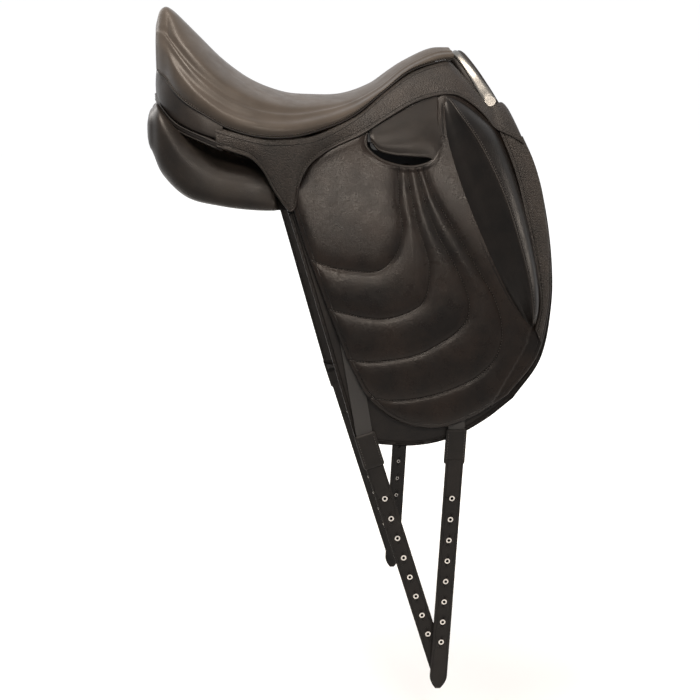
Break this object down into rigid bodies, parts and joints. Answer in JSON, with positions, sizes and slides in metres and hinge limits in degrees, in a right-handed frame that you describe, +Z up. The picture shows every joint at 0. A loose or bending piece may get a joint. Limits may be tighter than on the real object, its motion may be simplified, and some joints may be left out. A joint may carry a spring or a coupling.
{
  "type": "english saddle",
  "caption": "Monoflap dressage saddle with deep seat, outer knee blocks, padded panels, stirrup bars with catches and hinged long girth straps.",
  "frame": {"origin": "on the middle plane, below the deepest point of the seat, level with the panels' bearing surface beside the channel", "axes": "+X towards the pommel and the horse's head, +Y to the saddle's left side, +Z up"},
  "size_m": [0.505, 0.428, 0.8869],
  "materials": {
    "smooth_leather": "smooth black leather with a soft sheen",
    "grained_leather": "grained dark leather",
    "panel_leather": "soft black panel leather",
    "strap_leather": "matte black strap leather",
    "block_leather": "smooth black leather over a shaped block",
    "lining_leather": "matte black leather",
    "piping": "thin black leather over cord",
    "webbing": "woven dark nylon",
    "foam": "pale padding",
    "tree_wood": "laminated wood",
    "point_plastic": "black reinforced plastic",
    "steel": "brushed",
    "rivet_steel": "plain",
    "nickel": "pale nickel",
    "chrome": "polished"
  },
  "bodies": {
    "saddle": {"bar_rivets_left": "rivet_steel", "bar_rivets_right": "rivet_steel", "cantle_back": "smooth_leather", "cantle_strip": "panel_leather", "catch_pin_left": "rivet_steel", "catch_pin_right": "rivet_steel", "flap_band_left": "grained_leather", "flap_band_right": "grained_leather", "flap_left": "smooth_leather", "flap_right": "smooth_leather", "head_plate": "steel", "knee_block_left": "block_leather", "knee_block_right": "block_leather", "knee_piping_left": "piping", "knee_piping_right": "piping", "panel_bridge": "panel_leather", "panel_left": "panel_leather", "panel_right": "panel_leather", "pommel_facing": "smooth_leather", "pommel_plate": "chrome", "pommel_studs": "chrome", "seat_foam": "foam", "seat_leather": "smooth_leather", "seat_welt_left": "piping", "seat_welt_right": "piping", "skirt_left": "grained_leather", "skirt_right": "grained_leather", "sleeve_front_left": "strap_leather", "sleeve_front_right": "strap_leather", "sleeve_rear_left": "strap_leather", "sleeve_rear_right": "strap_leather", "stirrup_bar_left": "steel", "stirrup_bar_right": "steel", "sweat_flap_left": "lining_leather", "sweat_flap_right": "lining_leather", "tree": "tree_wood", "tree_point_left": "point_plastic", "tree_point_right": "point_plastic", "webbing_front_left": "webbing", "webbing_front_right": "webbing", "webbing_rear_left": "webbing", "webbing_rear_right": "webbing"},
    "girth_strap_front_right": {"strap_front_right": "strap_leather", "eyelets_front_right": "nickel"},
    "girth_strap_front_left": {"strap_front_left": "strap_leather", "eyelets_front_left": "nickel"},
    "girth_strap_rear_right": {"strap_rear_right": "strap_leather", "eyelets_rear_right": "nickel"},
    "girth_strap_rear_left": {"strap_rear_left": "strap_leather", "eyelets_rear_left": "nickel"},
    "bar_catch_right": {"bar_catch_right": "steel"},
    "bar_lip_right": {"bar_lip_right": "smooth_leather"},
    "bar_catch_left": {"bar_catch_left": "steel"},
    "bar_lip_left": {"bar_lip_left": "smooth_leather"}
  },
  "joints": [
    {"name": "girth_strap_front_right_swing", "type": "hinge", "parent": "saddle", "child": "girth_strap_front_right", "pos_m": [0.15047, -0.2001, -0.36433], "axis": [-0.9986, 0, 0.0523], "range_deg": [0, 45]},
    {"name": "girth_strap_front_left_swing", "type": "hinge", "parent": "saddle", "child": "girth_strap_front_left", "pos_m": [0.15047, 0.2001, -0.36433], "axis": [0.9986, 0, -0.0523], "range_deg": [0, 45]},
    {"name": "girth_strap_rear_right_swing", "type": "hinge", "parent": "saddle", "child": "girth_strap_rear_right", "pos_m": [0.04815, -0.1955, -0.36429], "axis": [0.9563, 0, 0.2924], "range_deg": [0, 30]},
    {"name": "girth_strap_rear_left_swing", "type": "hinge", "parent": "saddle", "child": "girth_strap_rear_left", "pos_m": [0.04815, 0.1955, -0.36429], "axis": [-0.9563, 0, -0.2924], "range_deg": [0, 30]},
    {"name": "bar_catch_right_turn", "type": "hinge", "parent": "saddle", "child": "bar_catch_right", "pos_m": [0.066, -0.101, 0.047], "axis": [0, 1, 0], "range_deg": [0, 70]},
    {"name": "bar_lip_right_lift", "type": "hinge", "parent": "saddle", "child": "bar_lip_right", "pos_m": [0.094, -0.1077, 0.0765], "axis": [-0.8883, -0.1964, -0.4152], "range_deg": [0, 30]},
    {"name": "bar_catch_left_turn", "type": "hinge", "parent": "saddle", "child": "bar_catch_left", "pos_m": [0.066, 0.101, 0.047], "axis": [0, 1, 0], "range_deg": [0, 70]},
    {"name": "bar_lip_left_lift", "type": "hinge", "parent": "saddle", "child": "bar_lip_left", "pos_m": [0.094, 0.1077, 0.0765], "axis": [0.8883, -0.1964, 0.4152], "range_deg": [0, 30]}
  ]
}
